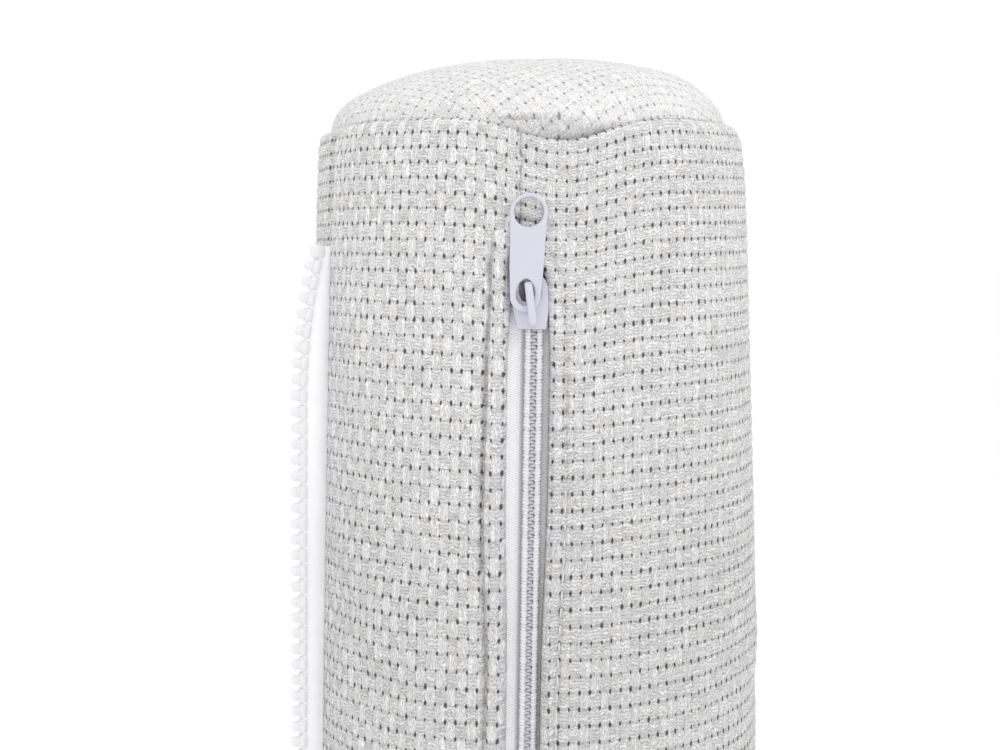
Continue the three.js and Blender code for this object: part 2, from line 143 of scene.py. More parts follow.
class Graph:
    def __init__(self, name):
        self.material = bpy.data.materials.new(name)
        self.material.use_nodes = True
        self.nodes = self.material.node_tree.nodes
        self.links = self.material.node_tree.links
        self.shader = self.nodes["Principled BSDF"]

    def put(self, socket, value):
        if value is None:
            return
        if isinstance(value, bpy.types.NodeSocket):
            self.links.new(value, socket)
        else:
            socket.default_value = value

    def node(self, kind, output=0, settings=None, **inputs):
        made = self.nodes.new(kind)
        for key, value in (settings or {}).items():
            setattr(made, key, value)
        for key, value in inputs.items():
            spot = int(key[1:]) if key[0] == "i" and key[1:].isdigit() else key.replace("_", " ")
            self.put(made.inputs[spot], value)
        return made.outputs[output]

    def math(self, operation, a, b=None, c=None, clamp=False):
        return self.node("ShaderNodeMath", settings={"operation": operation, "use_clamp": clamp},
                         i0=a, i1=b, i2=c)

    def times(self, a, b):
        return self.math("MULTIPLY", a, b)

    def plus(self, a, b):
        return self.math("ADD", a, b)

    def spread(self, a, amount):
        return self.math("MULTIPLY_ADD", a, amount, -amount / 2)

    def wave(self, a, turns=0.5):
        return self.math("SINE", self.times(a, 2 * math.pi * turns))

    def chance(self, x, y, z):
        return self.node("ShaderNodeTexWhiteNoise", Vector=self.vector(x, y, z))

    def mix(self, factor, a, b):
        return self.node("ShaderNodeMix", output=0, Factor=factor, A=a, B=b)

    def colour(self, factor, a, b, blend="MIX"):
        made = self.nodes.new("ShaderNodeMix")
        made.data_type, made.blend_type = "RGBA", blend
        self.put(made.inputs[0], factor)
        self.put(made.inputs[6], a)
        self.put(made.inputs[7], b)
        return made.outputs[2]

    def shaded(self, tone, colour):
        shade = self.node("ShaderNodeCombineColor", Red=tone, Green=tone, Blue=tone)
        return self.colour(1.0, shade, colour, "MULTIPLY")

    def step(self, value, low, high, out=(0, 1)):
        return self.node("ShaderNodeMapRange", settings={"interpolation_type": "SMOOTHSTEP"}, Value=value,
                         From_Min=low, From_Max=high, To_Min=out[0], To_Max=out[1])

    def noise(self, vector, scale, detail=2.0, rough=0.5, distortion=0.0):
        return self.node("ShaderNodeTexNoise", Vector=vector, Scale=scale, Detail=detail, Roughness=rough,
                         Distortion=distortion)

    def vector(self, x, y, z=0.0):
        return self.node("ShaderNodeCombineXYZ", X=x, Y=y, Z=z)

    def place(self):
        return self.node("ShaderNodeTexCoord", output=3)

    def stretched(self, vector, scale):
        return self.node("ShaderNodeMapping", Vector=vector, Scale=scale)

    def bump(self, height, distance, strength=1.0):
        self.put(self.shader.inputs["Normal"], self.node("ShaderNodeBump", Height=height, Distance=distance,
                                                         Strength=strength))

    def finish(self, **inputs):
        for key, value in inputs.items():
            self.put(self.shader.inputs[key.replace("_", " ")], value)
        return self.material


# topShade paints the top rows lighter as painted light and the lower rows darker as painted shade
yarn = {
    "wander": 0.16, "upright": 4.0, "lying": 4.6, "slub": 3.2, "fuzz": 0.9,
    "holeWide": 0.13, "holeTall": 0.165, "holeLeast": 0.6, "holeMost": 1.3, "paintedShadeTone": 0.7,
    "topRows": (8.0, 34.0), "topShade": (1.10, 0.97), "relief": 0.00011,
}


def wovenCloth(name, upright, level, lying, rows=1.0, hole=0.15, size=1.0, contrast=1.0, slack=0.0):
    # Plain weave of flat yarn bundles. The uv counts bundles; whole numbers are the lines between them.
    g = Graph(name)
    uv = g.node("ShaderNodeUVMap", settings={"uv_map": "weave"})
    parts = g.node("ShaderNodeSeparateXYZ", Vector=uv).node
    u, v = g.plus(parts.outputs[0], g.spread(g.noise(uv, 0.9, 1.0), yarn["wander"])), parts.outputs[1]
    iu, iv = g.math("FLOOR", u), g.math("FLOOR", v)
    fu, fv = g.math("FRACT", u), g.math("FRACT", v)
    flat = g.math("FLOORED_MODULO", g.plus(iu, iv), 2.0)
    hidden = g.math("LESS_THAN", g.chance(iu, iv, 11.0), slack)  # lengthwise bundles that lie under
    flat = g.math("MAXIMUM", flat, hidden)
    across, along = g.mix(flat, fu, fv), g.mix(flat, fv, fu)
    # yarns side by side in a bundle, each with its own tone and fuzz
    slub = g.spread(g.noise(g.stretched(uv, (2.2, 2.2, 1.0)), 1.0, 3.0, 0.7), yarn["slub"])
    lane = g.math("MULTIPLY_ADD", across, g.mix(flat, yarn["upright"], yarn["lying"]), slub)
    lane = g.plus(lane, g.chance(iu, iv, 3.0))
    lot = g.node("ShaderNodeTexWhiteNoise", settings={"noise_dimensions": "4D"},
                 Vector=g.vector(iu, iv, g.math("FLOOR", lane)), W=2.0)
    ridge = g.math("POWER", g.wave(g.math("FRACT", lane)), 0.6)
    strand = g.vector(g.math("MULTIPLY_ADD", lane, 2.6, g.times(iu, 7.3)),
                      g.math("MULTIPLY_ADD", along, 2.4, g.times(iv, 5.1)))
    fibre = g.noise(strand, 1.3, 3.0, 0.75, 0.4)
    # small holes at the corners, longer up and down than across, painted dark inside as painted shade
    reach = g.mix(g.chance(g.math("ROUND", u), g.math("ROUND", v), 7.0),
                  yarn["holeLeast"] * size, yarn["holeMost"] * size)
    squares = []
    for line, width in ((u, yarn["holeWide"]), (v, yarn["holeTall"])):
        away = g.math("ABSOLUTE", g.math("SUBTRACT", g.math("FRACT", g.plus(line, 0.5)), 0.5))
        squares.append(g.math("POWER", g.math("DIVIDE", away, g.times(reach, width)), 2.0))
    gap = g.math("SQRT", g.plus(*squares))
    gap = g.step(g.plus(gap, g.spread(fibre, yarn["fuzz"])), 0.55, 1.15)
    # the upright and lying tones differ as painted sheen; valley is painted shade between yarns
    tone = g.mix(flat, upright, lying)
    valley = g.mix(flat, 1 - 0.28 * contrast, 1 - 0.42 * contrast)
    paintedShade = g.node("ShaderNodeAttribute", 2, {"attribute_name": "paintedShade"})  # painted shade on cloth that is turned down
    # tone factors: random yarn tone; painted shade between yarns with a painted highlight on their crests;
    # painted shade at bundle ends, bundle sides and between rows; fibre tone; painted shade in the holes;
    # painted light on the top rows; painted shade on turned-down cloth; broad random tone
    for factor in (
        g.mix(lot, 1 - 0.15 * contrast, 1 + 0.08 * contrast), g.mix(ridge, valley, 1.06),
        g.mix(g.step(g.wave(along), 0.0, 0.4), 0.93, 1.0), g.mix(g.step(g.wave(across), 0.0, 0.4), 0.94, 1.0),
        g.mix(g.step(g.wave(fv), 0.0, 0.6), rows, 1.0),
        g.mix(g.step(fibre, 0.32, 0.68), 1 - 0.36 * contrast, 1 + 0.19 * contrast),
        g.mix(gap, hole, 1.0), g.step(v, *yarn["topRows"], yarn["topShade"]),
        g.mix(paintedShade, 1.0, yarn["paintedShadeTone"]), g.mix(g.noise(uv, 0.12, 2.0), 0.97, 1.03),
    ):
        tone = g.times(tone, factor)
    tint = g.step(g.noise(uv, 0.45, 2.0), 0.35, 0.65)
    tint = g.colour(tint, (1.0, 0.99, 0.98, 1), (0.995, 0.982, 0.998, 1))
    full = g.colour(1.0, g.shaded(tone, tint), (level, level, level, 1), "MULTIPLY")
    g.bump(g.plus(g.plus(g.times(ridge, 0.55), g.times(fibre, 0.5)), g.times(gap, 0.9)), yarn["relief"])
    return g.finish(Base_Color=full, Roughness=0.92, Sheen_Weight=0.08, Sheen_Roughness=0.5,
                    Specular_IOR_Level=0.15)


twill = {"rib": 0.00043, "warp": 0.0006, "coilShadow": (0.0016, 0.0022), "shade": (0.0024, 0.0042)}  # in metres


def tapeCloth(name, level, tilt, coilShadowTone, foldShadowTone):
    # fine twill, from the object's own coordinates
    g = Graph(name)
    place = g.place()
    parts = g.node("ShaderNodeSeparateXYZ", Vector=place).node
    x, z = parts.outputs[0], parts.outputs[2]
    rib = g.wave(g.math("MULTIPLY_ADD", x, tilt, z), 1 / twill["rib"])
    warp = g.wave(x, 1 / twill["warp"])
    height = g.plus(g.math("MULTIPLY_ADD", rib, 0.6, g.times(warp, 0.12)), g.noise(place, 2600.0, 2.0))
    # lighter on the rib crests and darker in their hollows: painted light and shade
    tone = g.step(height, -0.4, 1.5, (0.83, 1.08))
    fromCoil = g.math("ABSOLUTE", x)  # painted shadow of the coil on the tape beside it
    tone = g.times(tone, g.step(fromCoil, *twill["coilShadow"], (coilShadowTone, 1.0)))
    # painted shade, darker towards the folded cloth edge
    tone = g.times(tone, g.step(fromCoil, *twill["shade"], (1.0, foldShadowTone)))
    g.bump(height, 0.00004)
    return g.finish(Base_Color=g.shaded(tone, level), Roughness=0.75, Sheen_Weight=0.2,
                    Sheen_Roughness=0.4, Specular_IOR_Level=0.3)


def plainSurface(name, colour, rough, grain, depth, spec=0.5, vary=0.04, sheen=0.0, coat=0.0):
    g = Graph(name)
    place = g.place()
    tone = g.step(g.noise(place, grain * 0.15, 2.0), 0.3, 0.7, (1 - vary, 1 + vary))
    g.bump(g.noise(place, grain, 3.0), depth)
    return g.finish(Base_Color=g.shaded(tone, colour), Roughness=rough, Specular_IOR_Level=spec,
                    Sheen_Weight=sheen, Coat_Weight=coat, Coat_Roughness=0.15)


# one fabric in three copies: the cap's is painted lighter as painted top light, the wide panel's darker as
# painted shade, and their different upright, lying and row tones are painted sheen and shade
clothNarrow = wovenCloth("clothNarrow", 1.0, 0.78, 0.90, 0.97)
clothWide = wovenCloth("clothWide", 0.99, 0.74, 0.98, 0.90, slack=0.5)
clothCap = wovenCloth("clothCap", 1.0, 0.86, 1.0, 1.0, 0.5, 0.8, 0.7)
# the right tape is a darker copy of the same tape, painted as shade from the folded edge; both are painted
# darker beside the coil as painted shadow
tapeLeft = tapeCloth("tapeLeft", (0.97, 0.96, 1.0, 1), 0.35, 0.62, 1.0)
shadedTapeRight = tapeCloth("shadedTapeRight", (0.92, 0.91, 0.94, 1), -0.2, 0.9, 0.42)
tapeSide = plainSurface("tapeSide", (0.97, 0.965, 0.99, 1), 0.6, 2500.0, 0.00002, 0.3, 0.01, 0.1)
coilNylon = plainSurface("coilNylon", (0.58, 0.57, 0.61, 1), 0.35, 3000.0, 0.00001, 0.5, 0.03)
# painted shade: dark colour for the strip seen through the gaps of the coil
coilGapShade = plainSurface("coilGapShade", (0.46, 0.455, 0.48, 1), 0.6, 3000.0, 0.00002, 0.3, 0.05)
stitchThread = plainSurface("stitchThread", (0.76, 0.75, 0.74, 1), 0.7, 6000.0, 0.00004, 0.3, 0.04, 0.3)
coilThread = plainSurface("coilThread", (0.78, 0.77, 0.81, 1), 0.55, 6000.0, 0.00004, 0.4, 0.03, 0.3)
toothPlastic = plainSurface("toothPlastic", (0.81, 0.805, 0.83, 1), 0.4, 1800.0, 0.00001, 0.5, 0.01)
enamel = plainSurface("enamel", (0.61, 0.605, 0.695, 1), 0.32, 1200.0, 0.000012, 0.5, 0.01, 0.0, 0.25)
linerCloth = plainSurface("linerCloth", (0.72, 0.72, 0.71, 1), 0.9, 900.0, 0.00008, 0.2, 0.04, 0.3)
foamPolyether = plainSurface("foamPolyether", (0.85, 0.82, 0.70, 1), 0.95, 1400.0, 0.0003, 0.1, 0.06)
waddingFibre = plainSurface("waddingFibre", (0.88, 0.88, 0.88, 1), 0.95, 700.0, 0.0003, 0.1, 0.05, 0.4)
print("materials made")

# Shape of the stuffed cover

panelLow, panelHigh = cadBox("cover_panel_wide")
capHigh = cadBox("end_cap_top")[1]
tapeNear = -cadBox("coil_tape_left")[0][1]
coilFace = -cadBox("coil_left")[0][1]
seamBottom, seamTop = panelLow[2], panelHigh[2]
clothLength = seamTop - seamBottom
form = {
    "shoulder": 42.0, "belly": 3.4, "zipSwell": 1.0, "sideSwell": 2.0, "pull": 0.3, "unrolled": 43.5,
    "sideAngle": math.radians(-64.3), "slump": 3.3, "slumpAt": 1.6, "slumpWidth": 0.9, "seamDrop": 1.9,
    "seamRoll": 1.6, "easing": 1.5, "easeReach": 5.5, "aside": 1.0, "asideReach": 5.0, "overhang": 2.6,
    "overhangReach": 2.5, "tilt": 0.02, "droop": 4.3, "droopAt": 0.12, "droopWidth": 0.27, "droopReach": 45.0,
    "sideDroop": 1.0, "sideDroopAt": -1.4, "sideDroopWidth": 0.35, "gather": 0.10, "gatherReach": 6.0,
}


def bulge(x, middle, width):
    return np.exp(-((x - middle) / width) ** 2)


def lobe(angle, middle, width):
    return bulge(wrap(angle - middle), 0, width)


def droop(angle, t):
    # the end seam hangs lower over the zip, and a little at one side
    sag = form["droop"] * lobe(angle, form["droopAt"], form["droopWidth"])
    sag = sag + form["sideDroop"] * lobe(angle, form["sideDroopAt"], form["sideDroopWidth"])
    sag = sag - form["tilt"] * form["shoulder"] * np.sin(angle)
    return sag * np.exp(-t / form["droopReach"])


def overhang(angle):
    # the lowered part of the end seam lies out over the pad's shoulder
    return form["overhang"] * lobe(angle, form["droopAt"], form["droopWidth"])


def clothRadius(angle, t):
    swell = np.sin(np.pi * t / clothLength)
    radius = form["shoulder"] + form["belly"] * swell
    radius = radius + form["slump"] * swell ** 1.5 * lobe(angle, form["slumpAt"], form["slumpWidth"])
    for seam, held in ((0.0, form["zipSwell"]), (form["sideAngle"], form["sideSwell"])):
        radius = radius - (form["belly"] - held) * swell * lobe(angle, seam, form["pull"])
    radius = radius + overhang(angle) * np.exp(-t / form["overhangReach"])
    radius = radius - form["aside"] * np.sin(angle) * np.exp(-t / form["asideReach"])
    for end in (t, clothLength - t):
        short = np.clip(1 - end / form["seamRoll"], 0, 1)
        radius = radius - form["seamDrop"] * (1 - np.sqrt(1 - short ** 2))
        radius = radius - form["easing"] * np.exp(-end / form["easeReach"])
    return radius


def ripple(angle, t, seed):
    # gathers that a sewn end seam makes in the cloth beside it
    waves = sum(np.sin(angle * n + seed * n * 1.7) / (1 + 0.02 * n) for n in (11, 17, 26, 39))
    return form["gather"] * waves * np.exp(-t / form["gatherReach"])


def onBody(angle, t, lift):
    radius = clothRadius(angle, t) + lift
    z = seamTop - t - droop(angle, t)
    return np.stack([radius * np.sin(angle), -radius * np.cos(angle), z], -1)


def at(angle, radius, z):
    return np.stack([radius * np.sin(angle), -radius * np.cos(angle), z + 0 * radius], -1)


gape = {"coilShadow": 0.02, "wide": 3.35, "more": 0.75, "wider": (27.0, 42.0), "closer": (62.0, 100.0),
        "head": (15.5, 27.5), "foot": (15.5, 30.0)}


def opening(t):
    # half the width between the two folded edges, down the zip
    ends = smooth(t, *gape["head"]) * smooth(clothLength - t, *gape["foot"])
    wide = gape["wide"] + gape["more"] * (smooth(t, *gape["wider"]) - smooth(t, *gape["closer"]))
    return gape["coilShadow"] + (wide - gape["coilShadow"]) * ends


weave = {"width": 1.85, "first": 2.55, "gain": 0.55, "settle": 40.0, "across": 4, "down": 4, "relief": 0.15}
fine = np.linspace(0, clothLength, 3401)
rowCount = np.concatenate([[0], np.cumsum(0.1 / (weave["first"] + weave["gain"]
                                                 * (1 - np.exp(-(fine[1:] - 0.05) / weave["settle"]))))])


def relief(u, v, rows=0.0):
    fu, fv = np.abs(np.sin(np.pi * u)), np.abs(np.sin(np.pi * v))
    lying = (np.floor(u) + np.floor(v)) % 2
    upright = fu ** 0.4 * fv ** 0.7
    flat = fu ** 0.7 * fv ** 0.4
    return weave["relief"] * (np.where(lying > 0.5, flat, upright) - 0.5) + rows * (fv ** 0.6 - 0.6)


panel = {
    "reach": 12.0, "leastArc": 1.0, "sideFold": 1.1, "sideGap": 0.42, "sideReach": 10.0, "thick": 1.6,
    "least": 0.35, "tuck": 0.9, "sideTuck": 0.6, "opened": (15.0, 27.0), "stitched": (18.5, 24.0),
    "crown": 0.5, "crease": 16.0, "creaseDeep": 1.2, "puff": 0.35, "lean": 2.7, "footLean": 0.7,
    "leanEnd": (15.0, 29.0),
}
stitch = {"pitch": 3.1, "long": 2.2, "thick": 0.42, "margin": 20.0}
edges = {  # the panels' folded edges along the zip: -1 is the narrow panel's, 1 the wide one's
    -1: {"shift": 0.3, "rows": 0.03, "fold": 2.3, "groove": 3.8, "sway": 0.25, "swayTurn": 0.11,
         "swayFrom": 0.0, "deep": 1.75, "even": 0.85, "dip": 0.15, "wide": 0.45, "crownAt": 2.0,
         "crownWide": 1.1, "sunk": 0.9},
    1: {"shift": -0.15, "rows": 0.08, "fold": 1.1, "groove": 2.9, "sway": 0.2, "swayTurn": 0.09,
        "swayFrom": 1.0, "deep": 0.8, "even": 0.7, "dip": 0.5, "wide": 0.5, "crownAt": 1.3,
        "crownWide": 0.8, "sunk": 0.8},
}


# Soft shape from cloth physics: a coarse tube of cloth, held at its seams, blown up a little

soft = {"around": 120, "down": 110, "frames": 24, "pressure": 3.0, "limit": 0.55, "scale": 10.0,
        "stiff": 12.0, "shrink": -0.006, "even": 160, "zipCalm": 0.2, "sideCalm": 0.12}


def settled():
    around, down = soft["around"], soft["down"]
    angles = form["sideAngle"] + 2 * math.pi * np.arange(around) / around
    rows = np.linspace(0, clothLength, down)
    grid = onBody(angles[None, :] + 0 * rows[:, None], rows[:, None] + 0 * angles[None, :], 0.0)
    points = np.concatenate([grid.reshape(-1, 3), [[0, 0, seamTop], [0, 0, seamBottom]]])
    faces = capped(down, around, points)[1]
    obj = meshObject("softTube", points * soft["scale"], [f[::-1] for f in faces], None)
    held = obj.vertex_groups.new(name="held")
    zipLine = int(round(-form["sideAngle"] / (2 * math.pi) * around))
    for j in range(down):
        for k in range(around):
            onZip = abs(k - zipLine) <= (0 if rows[j] < panel["crease"] else 1)
            if j in (0, down - 1) or k == 0 or onZip:
                held.add([j * around + k], 1.0, "REPLACE")
    held.add([len(points) - 2, len(points) - 1], 1.0, "REPLACE")
    cloth = obj.modifiers.new("Cloth", "CLOTH")
    stuff = cloth.settings
    stuff.quality, stuff.mass, stuff.air_damping, stuff.time_scale = 6, 0.25, 2.0, 0.6
    stuff.tension_stiffness = stuff.compression_stiffness = 40
    stuff.shear_stiffness, stuff.bending_stiffness = 20, soft["stiff"]
    stuff.vertex_group_mass, stuff.pin_stiffness = "held", 1.0
    stuff.use_pressure, stuff.uniform_pressure_force = True, soft["pressure"]
    stuff.shrink_min = soft["shrink"]
    stuff.effector_weights.gravity = 0.0
    scene = bpy.context.scene
    cloth.point_cache.frame_start, cloth.point_cache.frame_end = 1, soft["frames"]
    scene.frame_start, scene.frame_end = 1, soft["frames"]
    for frameNumber in range(1, soft["frames"] + 1):
        scene.frame_set(frameNumber)
    seen = obj.evaluated_get(bpy.context.evaluated_depsgraph_get()).data
    after = np.zeros(len(seen.vertices) * 3, np.float32)
    seen.vertices.foreach_get("co", after)
    after = after.reshape(-1, 3)[:around * down].reshape(down, around, 3) / mm / soft["scale"]
    scene.frame_set(1)
    bpy.data.objects.remove(obj)
    moved = np.hypot(after[..., 0], after[..., 1]) - np.hypot(grid[..., 0], grid[..., 1])
    broad = moved  # the broad shape is already in the form; only the folds are kept
    for turn in range(soft["even"]):
        broad = (np.roll(broad, 1, 1) + 2 * broad + np.roll(broad, -1, 1)) / 4
        if turn % 3 == 0:
            padded = np.concatenate([broad[:1], broad, broad[-1:]])
            broad = (padded[:-2] + 2 * padded[1:-1] + padded[2:]) / 4
    moved = moved - broad
    print("cloth settled, moves from", round(float(moved.min()), 2), "to", round(float(moved.max()), 2))
    moved = soft["limit"] * np.tanh(moved / soft["limit"])
    return np.concatenate([moved, moved[:, :1]], 1)


softField = settled()


def softLift(angle, t):
    if softField is None:
        return 0.0 * t
    # calm next to the seams, whose folds are shaped on their own
    x = ((angle - form["sideAngle"]) / (2 * math.pi) % 1) * soft["around"]
    y = np.clip(t / clothLength, 0, 1) * (soft["down"] - 1)
    k, j = np.minimum(x.astype(int), soft["around"] - 1), np.minimum(y.astype(int), soft["down"] - 2)
    fx, fy = x - k, y - j
    upper = softField[j, k] * (1 - fx) + softField[j, k + 1] * fx
    lower = softField[j + 1, k] * (1 - fx) + softField[j + 1, k + 1] * fx
    calm = (1 - lobe(angle, 0, soft["zipCalm"])) * (1 - lobe(angle, form["sideAngle"], soft["sideCalm"]))
    return (upper * (1 - fy) + lower * fy) * calm


# Cover panels

def seamLean(t):
    # the closed seam wanders to one side above the opening
    high = 1 - smooth(t, *panel["leanEnd"])
    wander = 0.16 * np.sin(t * 0.83) + 0.12 * np.sin(t * 1.9 + 1)
    return (panel["lean"] + wander) * high + panel["footLean"] * (1 - high) * smooth(clothLength - t, 0, 40)


def groove(edge, t):
    return edge["groove"] + edge["sway"] * np.sin(t * edge["swayTurn"] + edge["swayFrom"])


def rolled(away, radius):
    # how far a folded edge of this radius turns in
    near = np.clip(1 - away / radius, 0, 1)
    return radius * (1 - np.sqrt(1 - near ** 2))


def panelGrid(edge, length):
    # four cells to a bundle each way, closer at the edges; bundles are counted down by v
    step = weave["width"] / weave["across"]
    first = math.ceil((panel["reach"] + edge["shift"]) / step)
    last = math.floor((length - panel["leastArc"] + edge["shift"]) / step)
    cells = np.arange(first, last + 1) * step - edge["shift"]
    close = np.linspace(panel["leastArc"], cells[0], 46)[:-1]
    rim = np.array([0.0, 0.04, 0.16, 0.4, 0.75])
    s = np.concatenate([rim, close, cells, length - rim[::-1]])
    v = np.arange(0, rowCount[-1], 1 / weave["down"])
    v = np.concatenate([[0, 0.03, 0.09], v[1:], [rowCount[-1] - 0.09, rowCount[-1] - 0.03, rowCount[-1]]])
    v = np.unique(np.round(v, 4))
    across, drop = np.meshgrid(s, np.interp(v, rowCount, fine))
    return across, drop, np.meshgrid(s, v)[1]


def zipFolds(side, drop, fromFold, opened):
    # folded edge with its topstitching, and the creases that the head of the opening pulls
    edge = edges[side]
    seamOnly = (0.8 + 0.35 * np.sin(drop * 2.03)) * bulge(fromFold, 0.0, 0.4)
    lift = -rolled(fromFold, edge["fold"]) * opened - seamOnly * (1 - opened)
    stitched = smooth(drop, *panel["stitched"]) * smooth(clothLength - drop, *panel["stitched"])
    deep = edge["deep"] * (edge["even"] + edge["dip"] * np.cos(2 * np.pi * drop / stitch["pitch"]))
    lift = lift - stitched * deep * bulge(fromFold, groove(edge, drop), edge["wide"])
    lift = lift + stitched * panel["crown"] * bulge(fromFold, edge["crownAt"], edge["crownWide"])
    pulled = panel["crease"] + 0.5 * side * np.sin(fromFold * 0.3)
    lift = lift - panel["creaseDeep"] * bulge(drop, pulled, 1.0) * np.exp(-fromFold / 8.0)
    lift = lift + panel["puff"] * bulge(drop, pulled - 3.0, 2.2) * np.exp(-fromFold / 10.0)
    below = bulge(drop, pulled + 3.0, 2.0) * np.exp(-fromFold / 9.0)
    lift = lift + panel["puff"] * below * (1 - bulge(fromFold, 0, 1.0))
    return lift - 0.25 * bulge(fromFold, 0.0, 6.0) * smooth(22 - drop, 0, 10)


def coverPanel(name, side, length, material):
    # side -1 runs from the zip to the side seam one way round, side 1 the other way
    edge = edges[side]
    across, drop, vGrid = panelGrid(edge, length)
    start = opening(drop) + side * -seamLean(drop)
    arcLength = across + start * np.clip(1 - across / panel["reach"], 0, 1)
    fromFold = arcLength - start
    uGrid = (arcLength + edge["shift"]) / weave["width"]
    fromSide = length - across
    arcLength = arcLength - panel["sideGap"] * np.clip(1 - fromSide / panel["sideReach"], 0, 1)
    angle = side * arcLength / form["unrolled"]
    opened = smooth(drop, *panel["opened"]) * smooth(clothLength - drop, *panel["opened"])
    lift = relief(uGrid, vGrid, edge["rows"]) * smooth(across, 0.0, 1.2) * smooth(fromSide, 0.0, 1.2)
    lift = lift * smooth(drop, 0.0, 0.7) * smooth(clothLength - drop, 0.0, 0.7)
    lift = lift + ripple(angle, drop, 1.0) + ripple(angle, clothLength - drop, 2.0) + softLift(angle, drop)
    lift = lift + zipFolds(side, drop, fromFold, opened) - rolled(fromSide, panel["sideFold"])
    outer = onBody(angle, drop, lift)
    # the folded edge reaches down to the tape
    radius = np.hypot(outer[..., 0], outer[..., 1])
    onTape = (tapeNear + 0.12) / np.cos(angle)
    atFold = (across < 0.02) & (opened > 0.02)
    folded = np.minimum(radius, radius * (1 - opened) + onTape * opened)
    outer[atFold] = at(angle, folded, outer[..., 2])[atFold]
    # the cloth's inner face
    radius = np.hypot(outer[..., 0], outer[..., 1])
    inRadius = np.minimum(clothRadius(angle, drop) - panel["thick"], radius - panel["least"])
    inArc = arcLength + panel["tuck"] * opened * np.clip(1 - across / 3.0, 0, 1)
    inArc = inArc - panel["sideTuck"] * np.clip(1 - fromSide / 3.0, 0, 1)
    within = at(side * inArc / form["unrolled"], inRadius, outer[..., 2])
    points = np.concatenate([outer.reshape(-1, 3), within.reshape(-1, 3)])
    uv = np.stack([uGrid, vGrid], -1).reshape(-1, 2)
    faces = shellFaces(*across.shape)
    if side > 0:
        faces = faces[:, ::-1]
    obj = meshObject(name, points, faces, material, np.concatenate([uv, uv]))
    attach(obj, "cover")
    print(name, "made with", len(faces), "faces")
    return obj


girth = 2 * math.pi * form["unrolled"]
narrowLength = -form["sideAngle"] * form["unrolled"]
coverNarrow = coverPanel("coverNarrow", -1, narrowLength, clothNarrow)
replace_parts(coverNarrow, "cover_panel_narrow")
coverWide = coverPanel("coverWide", 1, girth - narrowLength, clothWide)
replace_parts(coverWide, "cover_panel_wide")


# End caps

cap = {
    "turn": 0.72, "width": 1.85, "height": 2.35, "rings": 94, "around": 470, "seam": 38.9, "bulged": 38.5,
    "relief": 0.07, "thick": 1.0, "tilt": 0.034, "lean": 0.035, "footFlat": 30.0, "footShare": 0.62,
    "creaseAt": 0.2, "creaseDrop": 0.72, "creaseDeep": 1.5, "creaseWide": 0.28, "fold": 0.8, "paintedShade": 0.8,
}


def capProfile(share, upward):
    # share runs from 0 at the middle to 1 at the seam; returns radius and height beyond the seam
    if upward:
        turn = share * math.pi / 2
        radius = cap["bulged"] * np.sin(turn)
        height = (capHigh[2] - seamTop - 0.4) * np.cos(turn)
    else:
        # the foot is nearly flat and turns up into the seam
        flat, part = cap["footFlat"], cap["footShare"]
        turn = np.clip((share - part) / (1 - part), 0, 1) * math.pi / 2
        radius = np.where(share < part, share / part * flat, flat + (cap["bulged"] - flat) * np.sin(turn))
        height = (seamBottom - 0.3) * np.cos(turn) ** 0.8
    tuck = smooth(share, 0.955, 1.0)
    return radius - (cap["bulged"] - cap["seam"]) * tuck, height - (0.5 if upward else 0.3) * tuck


